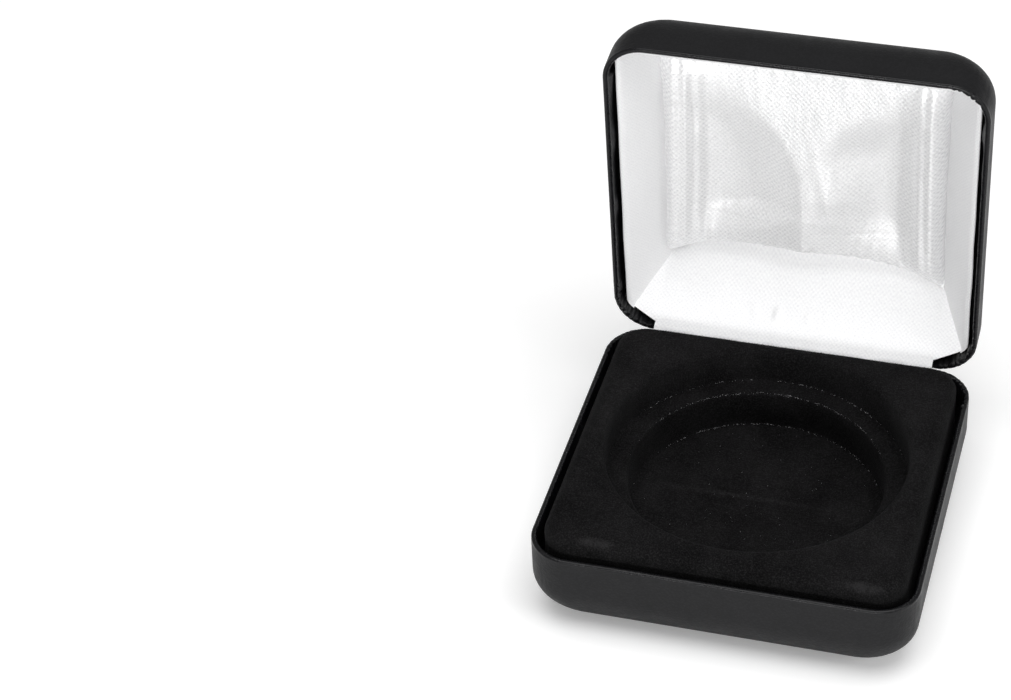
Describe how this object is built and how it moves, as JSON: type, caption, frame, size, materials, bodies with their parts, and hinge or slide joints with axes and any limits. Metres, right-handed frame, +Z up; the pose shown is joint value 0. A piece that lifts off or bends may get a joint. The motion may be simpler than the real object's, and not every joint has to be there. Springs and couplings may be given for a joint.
{
  "type": "coin display case",
  "caption": "Hinged clamshell case in black leatherette: a flocked tray with a stepped round recess for an encapsulated coin, and a lid lined with puffed white satin.",
  "frame": {"origin": "centre of the base's flat underside, on the surface that the case stands on", "axes": "+Z up, +Y towards the hinge, -Y towards the front of the case; stored open, as it stands at rest"},
  "size_m": [0.081, 0.0989, 0.0986],
  "materials": {
    "leatherette": "satin",
    "pressed_steel": "satin",
    "hinge_steel": "satin",
    "velvet_flock": "matte",
    "moulded_tray": "matte",
    "packing_card": "matte",
    "lining_card": "matte",
    "white_satin": "satin",
    "wadding": "matte"
  },
  "bodies": {
    "base": {"base_cover": "leatherette", "base_shell": "pressed_steel", "base_hinge_leaf": "hinge_steel", "base_rivets": "hinge_steel", "hinge_pin": "hinge_steel", "snap_spring": "hinge_steel", "tray_flock": "velvet_flock", "tray_form": "moulded_tray", "tray_packing": "packing_card", "hinge_satin_strip": "white_satin"},
    "lid": {"lid_cover": "leatherette", "lid_shell": "pressed_steel", "lid_hinge_leaf": "hinge_steel", "lid_rivets": "hinge_steel", "lining_card_left": "lining_card", "lining_card_right": "lining_card", "lining_card_front": "lining_card", "lining_card_hinge": "lining_card", "lining_satin_left": "white_satin", "lining_satin_right": "white_satin", "lining_satin_front": "white_satin", "lining_satin_hinge": "white_satin", "pad_board": "lining_card", "pad_satin": "white_satin", "pad_wadding": "wadding"}
  },
  "joints": [
    {"name": "lid_hinge", "type": "hinge", "parent": "base", "child": "lid", "pos_m": [0, 0.0391, 0.0197], "axis": [1, 0, 0], "range_deg": [0, 85], "deforming": ["snap_spring", "hinge_satin_strip"]}
  ]
}
